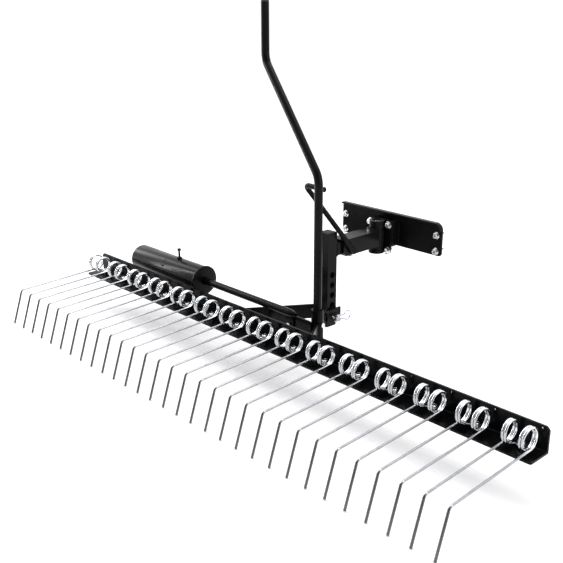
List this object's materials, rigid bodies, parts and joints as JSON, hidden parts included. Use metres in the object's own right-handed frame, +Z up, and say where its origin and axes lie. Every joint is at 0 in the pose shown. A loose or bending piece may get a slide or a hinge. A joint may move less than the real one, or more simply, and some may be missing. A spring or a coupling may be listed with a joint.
{
  "type": "lawn dethatcher",
  "caption": "Front-mounted spring-tine lawn dethatcher: angle-bar rake on a lifting, swivelling hitch with lever, sliding counterweight and plate that bolts to a riding mower.",
  "frame": {"origin": "middle of the rear face of the mounting plate, where it rests on the mower", "axes": "+X along the rake bar, +Y towards the mower, square to the mounting plate, +Z up"},
  "size_m": [1.5025, 0.7688, 0.8699],
  "materials": {
    "mount_plate": "gloss black powder coat on steel",
    "mount_bolt": "bright zinc plate",
    "mount_washer": "bright zinc plate",
    "bracket_bar": "gloss black powder coat on steel",
    "pivot_bracket": "gloss black powder coat on steel",
    "bracket_bolt": "bright zinc plate",
    "kingpin": "bright zinc plate",
    "pivot_sleeve": "gloss black powder coat on steel",
    "cross_tube": "gloss black powder coat on steel",
    "inner_tube": "gloss black powder coat on steel",
    "tube_set_bolt": "bright zinc plate",
    "clamp_bolt": "bright zinc plate",
    "handle_rest": "gloss black powder coat on steel",
    "post": "gloss black powder coat on steel",
    "post_cap": "matt black moulded plastic",
    "clevis_ear": "gloss black powder coat on steel",
    "brace": "gloss black powder coat on steel",
    "cross_plate": "gloss black powder coat on steel",
    "tine_bar": "gloss black powder coat on steel",
    "spring_tine": "bright zinc-plated spring wire",
    "handle_socket": "gloss black powder coat on steel",
    "handle_bolt": "bright zinc plate",
    "handle_tube": "gloss black powder coat on steel",
    "handle_cap": "matt black moulded plastic",
    "hitch_pin": "bright zinc plate",
    "weight_arm": "gloss black powder coat on steel",
    "arm_bolt": "bright zinc plate",
    "arm_nut": "bright zinc plate",
    "hairpin_clip": "bright zinc plate",
    "counterweight": "gloss black powder coat on steel",
    "weight_end_cap": "gloss black powder coat on steel",
    "weight_plug": "gloss black powder coat on steel",
    "weight_jam_nut": "gloss black powder coat on steel",
    "weight_set_bolt": "gloss black powder coat on steel"
  },
  "bodies": {
    "mower_mount": {"mount_plate": "mount_plate", "mount_bolt_1": "mount_bolt", "mount_bolt_2": "mount_bolt", "mount_bolt_3": "mount_bolt", "mount_bolt_4": "mount_bolt", "mount_washer_1": "mount_washer", "mount_washer_2": "mount_washer", "mount_washer_3": "mount_washer", "mount_washer_4": "mount_washer", "bracket_bar_left": "bracket_bar", "bracket_bar_right": "bracket_bar", "pivot_bracket": "pivot_bracket", "bracket_bolt_1": "bracket_bolt", "bracket_bolt_2": "bracket_bolt", "bracket_bolt_3": "bracket_bolt", "bracket_bolt_4": "bracket_bolt", "kingpin": "kingpin"},
    "swivel": {"pivot_sleeve": "pivot_sleeve", "cross_tube": "cross_tube", "inner_tube": "inner_tube", "tube_set_bolt": "tube_set_bolt", "clamp_bolt": "clamp_bolt", "handle_rest": "handle_rest", "post": "post", "post_cap": "post_cap"},
    "rake": {"clevis_ear_left": "clevis_ear", "clevis_ear_right": "clevis_ear", "brace_left": "brace", "brace_right": "brace", "cross_plate": "cross_plate", "tine_bar": "tine_bar", "spring_tine_01": "spring_tine", "spring_tine_02": "spring_tine", "spring_tine_03": "spring_tine", "spring_tine_04": "spring_tine", "spring_tine_05": "spring_tine", "spring_tine_06": "spring_tine", "spring_tine_07": "spring_tine", "spring_tine_08": "spring_tine", "spring_tine_09": "spring_tine", "spring_tine_10": "spring_tine", "spring_tine_11": "spring_tine", "spring_tine_12": "spring_tine", "spring_tine_13": "spring_tine", "spring_tine_14": "spring_tine", "spring_tine_15": "spring_tine", "handle_socket": "handle_socket", "handle_bolt": "handle_bolt", "handle_tube": "handle_tube", "handle_cap": "handle_cap", "hitch_pin": "hitch_pin", "weight_arm": "weight_arm", "arm_bolt": "arm_bolt", "arm_nut": "arm_nut"},
    "clip": {"hairpin_clip": "hairpin_clip"},
    "weight": {"counterweight": "counterweight", "weight_end_cap": "weight_end_cap", "weight_plug": "weight_plug", "weight_jam_nut": "weight_jam_nut"},
    "set_bolt": {"weight_set_bolt": "weight_set_bolt"}
  },
  "joints": [
    {"name": "swivel_turn", "type": "hinge", "parent": "mower_mount", "child": "swivel", "pos_m": [-0.007, -0.05, -0.015], "axis": [0, 0, 1], "range_deg": [-20, 20]},
    {"name": "rake_lift", "type": "hinge", "parent": "swivel", "child": "rake", "pos_m": [-0.007, -0.2365, -0.186], "axis": [-1, 0, 0], "range_deg": [0, 35]},
    {"name": "clip_pull", "type": "slide", "parent": "rake", "child": "clip", "axis": [0, 1, 0], "range_m": [0, 0.035]},
    {"name": "weight_slide", "type": "slide", "parent": "rake", "child": "weight", "axis": [1, 0, 0], "range_m": [0, 0.18]},
    {"name": "set_bolt_turn", "type": "hinge", "parent": "weight", "child": "set_bolt", "pos_m": [-0.446, -0.3775, -0.1065], "axis": [0, 0, 1], "range_deg": [0, 360]}
  ]
}
